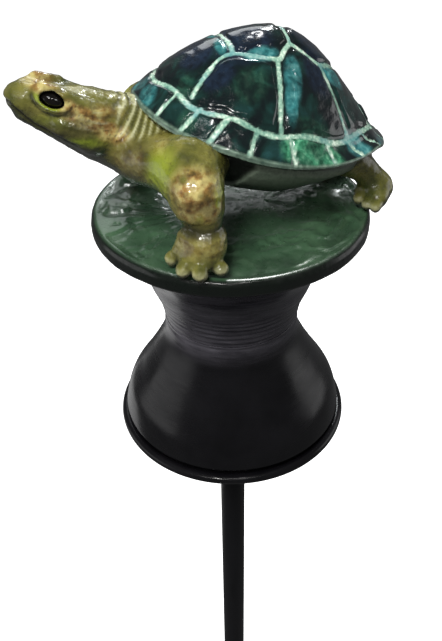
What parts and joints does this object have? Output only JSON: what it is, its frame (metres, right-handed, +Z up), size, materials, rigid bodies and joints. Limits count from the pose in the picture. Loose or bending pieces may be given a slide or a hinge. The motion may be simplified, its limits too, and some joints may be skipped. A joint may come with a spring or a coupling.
{
  "type": "garden hose guide",
  "caption": "Garden hose guide: a waisted black spool turns on a ground stake under a green disc with a painted turtle figure on top.",
  "frame": {"origin": "on the stake's axis at the soil line, 240 mm above its point", "axes": "+Z up along the stake, towards the turtle; the turtle faces -Y, and +X is its left"},
  "size_m": [0.0892, 0.1131, 0.4414],
  "materials": {
    "stake_coat": "charcoal powder coat, satin",
    "zinc_steel": "zinc plated, satin",
    "bushing_nylon": "natural nylon",
    "spool_black": "black, satin gloss with faint turning marks",
    "insert_brass": "machined",
    "disc_green": "dark forest green enamel over a rippled cast surface",
    "skin_paint": "olive and yellow-green hand paint with orange-brown patches, clear lacquer",
    "shell_enamel": "teal, emerald and blue hand paint with pale mint seams, very glossy lacquer",
    "belly_paint": "dusty grey-green paint",
    "eye_gloss": "polished black"
  },
  "bodies": {
    "stake": {"stake_rod": "stake_coat", "stop_collar": "zinc_steel", "collar_grub_screw": "zinc_steel", "lower_thrust_washer": "zinc_steel", "upper_thrust_washer": "zinc_steel", "threaded_insert": "insert_brass", "base_disc": "disc_green", "turtle_body": "skin_paint", "carapace": "shell_enamel", "plastron": "belly_paint", "left_eye": "eye_gloss", "right_eye": "eye_gloss", "front_left_foot_pin": "zinc_steel", "front_right_foot_pin": "zinc_steel", "rear_left_foot_pin": "zinc_steel", "rear_right_foot_pin": "zinc_steel"},
    "spool": {"core_tube": "zinc_steel", "spool_base_dish": "spool_black", "spool_bell": "spool_black", "spool_neck": "spool_black", "spool_top_plate": "spool_black", "lower_bushing": "bushing_nylon", "upper_bushing": "bushing_nylon"}
  },
  "joints": [
    {"name": "spool_spin", "type": "hinge", "parent": "stake", "child": "spool", "pos_m": [0, 0, 0.1], "axis": [0, 0, 1], "continuous": true}
  ]
}
